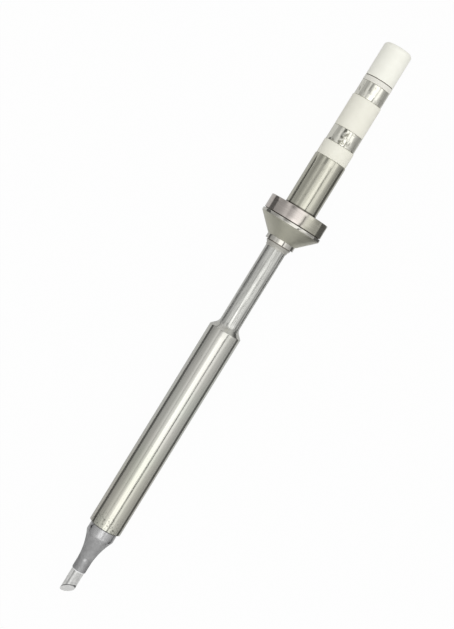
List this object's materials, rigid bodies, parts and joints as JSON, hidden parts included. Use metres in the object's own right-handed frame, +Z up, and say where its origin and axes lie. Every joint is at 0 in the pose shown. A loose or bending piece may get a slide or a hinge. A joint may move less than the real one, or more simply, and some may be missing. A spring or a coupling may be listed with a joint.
{
  "type": "soldering iron tip",
  "caption": "Soldering iron tip cartridge with a bevelled bit, a heater barrel, a conical collar and a white contact end.",
  "frame": {"origin": "bottom centre of the box round the cartridge as it lies on its collar and the front of its barrel", "axes": "+Y along the cartridge from the working end to the contact end, +Z up; the cartridge's own axis rises 2.46 degrees towards +Y"},
  "size_m": [0.0108, 0.1052, 0.0108],
  "materials": {
    "bit_plate": "matt grey plating with a tinned working end",
    "barrel_steel": "drawn stainless tube, fine lengthwise grain",
    "collar_steel": "fine turned, satin",
    "sleeve_steel": "lengthwise brushed",
    "contact_metal": "bright plated, lightly scuffed",
    "white_plastic": "smooth ivory white moulded plastic",
    "stem_plastic": "moulded heat-proof plastic",
    "heater_ceramic": "unglazed alumina",
    "coil_alloy": "oxidised resistance wire",
    "sensor_alloy": "drawn thermocouple wire",
    "lead_copper": "bare copper wire",
    "crimp_metal": "tinned crimp tube"
  },
  "bodies": {
    "root": {"bit": "bit_plate", "heater_barrel": "barrel_steel", "collar": "collar_steel", "rear_sleeve": "sleeve_steel", "front_spacer": "white_plastic", "front_contact_ring": "contact_metal", "middle_spacer": "white_plastic", "rear_contact_ring": "contact_metal", "rear_spacer": "white_plastic", "end_cap": "white_plastic", "contact_stem": "stem_plastic", "heater_core": "heater_ceramic", "heating_coil": "coil_alloy", "heater_sleeve": "heater_ceramic", "sensor_bead": "sensor_alloy", "sensor_wire": "sensor_alloy", "power_crimp": "crimp_metal", "return_crimp": "crimp_metal", "power_lead": "lead_copper", "return_lead": "lead_copper", "lead_insulator": "heater_ceramic"}
  },
  "joints": []
}
